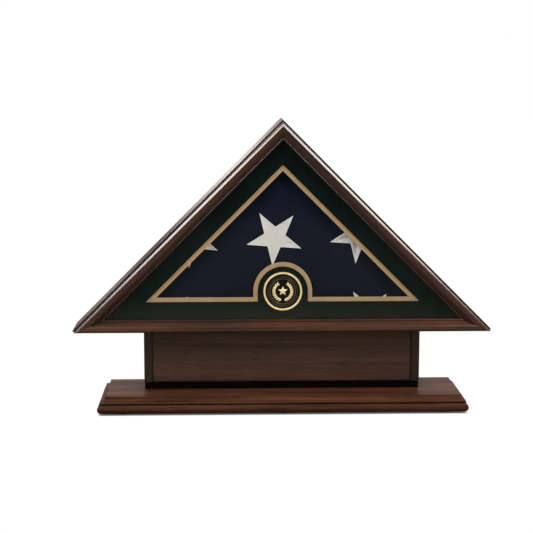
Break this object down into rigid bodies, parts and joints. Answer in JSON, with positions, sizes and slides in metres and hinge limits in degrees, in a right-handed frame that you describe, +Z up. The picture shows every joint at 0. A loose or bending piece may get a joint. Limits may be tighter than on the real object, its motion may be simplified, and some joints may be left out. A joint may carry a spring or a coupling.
{
  "type": "folded flag display case",
  "caption": "Triangular wooden shadow box that shows a folded flag behind glass with a medallion, on a pedestal with a moulded plinth.",
  "frame": {"origin": "under the middle of the base, on the surface that it stands on", "axes": "+X along the case to its right as seen from the front, -Y towards the viewer, +Z up"},
  "size_m": [0.687, 0.15, 0.474],
  "materials": {
    "moulding_wood": "gloss",
    "case_wood": "gloss",
    "pedestal_wood": "satin",
    "panel_wood": "satin",
    "ebonised_wood": "satin",
    "door_wood": "satin",
    "plain_wood": "matte",
    "felt_black": "matte",
    "felt_green": "matte",
    "clear_glass": "gloss",
    "spacer_black": "matte",
    "mat_green": "matte",
    "mat_gold": "satin",
    "medal_gold": "polished",
    "enamel_black": "gloss",
    "flag_cloth": "matte",
    "brass": "satin",
    "steel": "satin"
  },
  "bodies": {
    "pedestal": {"base_plinth": "moulding_wood", "felt_feet": "felt_black", "pedestal_bottom_board": "ebonised_wood", "pedestal_left_end": "pedestal_wood", "pedestal_right_end": "pedestal_wood", "pedestal_front_panel": "panel_wood", "pedestal_back_panel": "pedestal_wood", "pedestal_top_board": "pedestal_wood", "pedestal_glue_blocks": "plain_wood", "plinth_screws": "steel", "locating_dowels": "plain_wood"},
    "case": {"case_left_board": "case_wood", "case_right_board": "case_wood", "case_bottom_board": "case_wood", "front_rail_left": "moulding_wood", "front_rail_right": "moulding_wood", "front_rail_bottom": "moulding_wood", "glass_pane": "clear_glass", "glass_spacers": "spacer_black", "green_mat": "mat_green", "gold_undermat": "mat_gold", "medallion_rim": "medal_gold", "medallion_enamel": "enamel_black", "medallion_emblem": "medal_gold", "retainer_left": "plain_wood", "retainer_right": "plain_wood", "retainer_bottom": "plain_wood", "folded_flag": "flag_cloth", "tip_blocks": "plain_wood", "catch_block": "plain_wood", "catch_magnet": "steel", "hinge_case_leaves": "brass", "hinge_case_screws": "brass", "hinge_pins": "brass"},
    "door": {"back_door_panel": "door_wood", "door_lining": "felt_green", "hinge_door_leaves": "brass", "hinge_door_screws": "brass", "strike_plate": "steel", "strike_screw": "steel", "door_knob": "brass", "knob_screw": "steel"}
  },
  "joints": [
    {"name": "case_lift", "type": "slide", "parent": "pedestal", "child": "case", "axis": [0, 0, 1], "range_m": [0, 0.12]},
    {"name": "door_hinge", "type": "hinge", "parent": "case", "child": "door", "pos_m": [0, 0.0558, 0.143], "axis": [-1, 0, 0], "range_deg": [0, 110]}
  ]
}
